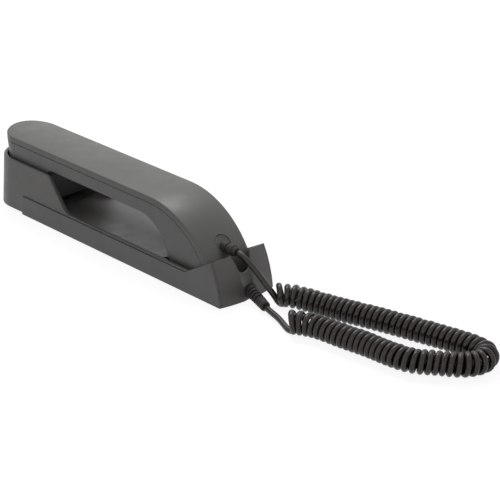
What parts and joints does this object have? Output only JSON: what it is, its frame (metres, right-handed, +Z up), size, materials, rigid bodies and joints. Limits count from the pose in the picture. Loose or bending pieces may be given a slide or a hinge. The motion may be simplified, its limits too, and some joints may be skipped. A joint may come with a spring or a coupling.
{
  "type": "audio intercom handset",
  "caption": "Slim intercom handset lying in its open cradle, with a hook button, a curly cord and a ribbed cord boot in the cradle's end wall.",
  "frame": {"origin": "bottom centre of the cradle, on the surface that its feet stand on", "axes": "+X from the ear end to the mouth end, where the cord leaves; +Y to the far side; +Z up"},
  "size_m": [0.3986, 0.0709, 0.0516],
  "materials": {
    "housing_plastic": "fine moulded texture, dark grey",
    "tray_plastic": "fine moulded texture, dark grey",
    "handset_plastic": "satin moulded, grey",
    "handset_shell_plastic": "satin moulded, dark grey",
    "cord_plastic": "smooth extruded cord sheath",
    "cord_rubber": "moulded rubber, matt",
    "foot_rubber": "matt rubber",
    "button_plastic": "moulded acetal",
    "screw_steel": "zinc plated",
    "spring_steel": "drawn wire",
    "board_laminate": "solder mask",
    "terminal_plastic": "moulded nylon",
    "switch_plastic": "moulded",
    "capsule_metal": "spun and pressed can",
    "gasket_foam": "closed-cell foam"
  },
  "bodies": {
    "cradle": {"cradle_housing": "housing_plastic", "base_tray": "tray_plastic", "rubber_feet": "foot_rubber", "housing_screws": "screw_steel", "hook_switch": "switch_plastic", "hook_spring": "spring_steel", "circuit_board": "board_laminate", "terminal_block": "terminal_plastic", "cradle_cord_boot": "cord_rubber", "cradle_lead": "cord_plastic", "cord_coil": "cord_plastic"},
    "handset": {"handset_body": "handset_shell_plastic", "handset_back_cover": "handset_plastic", "handset_screws": "screw_steel", "handset_cord_gland": "cord_rubber", "receiver_gasket": "gasket_foam", "receiver_capsule": "capsule_metal", "microphone_capsule": "capsule_metal", "microphone_holder": "foot_rubber", "handset_weight": "screw_steel", "handset_board": "board_laminate", "handset_lead": "cord_plastic"},
    "hook_plunger": {"hook_plunger": "button_plastic"}
  },
  "joints": [
    {"name": "handset_lift", "type": "slide", "parent": "cradle", "child": "handset", "axis": [0, 0, 1], "range_m": [0, 0.06]},
    {"name": "hook_travel", "type": "slide", "parent": "cradle", "child": "hook_plunger", "axis": [0, 0, 1], "range_m": [0, 0.003], "deforming": ["hook_spring"]}
  ],
  "couplings": [
    {"joint": "hook_travel", "follows": "handset_lift", "ratio": 0.05}
  ]
}
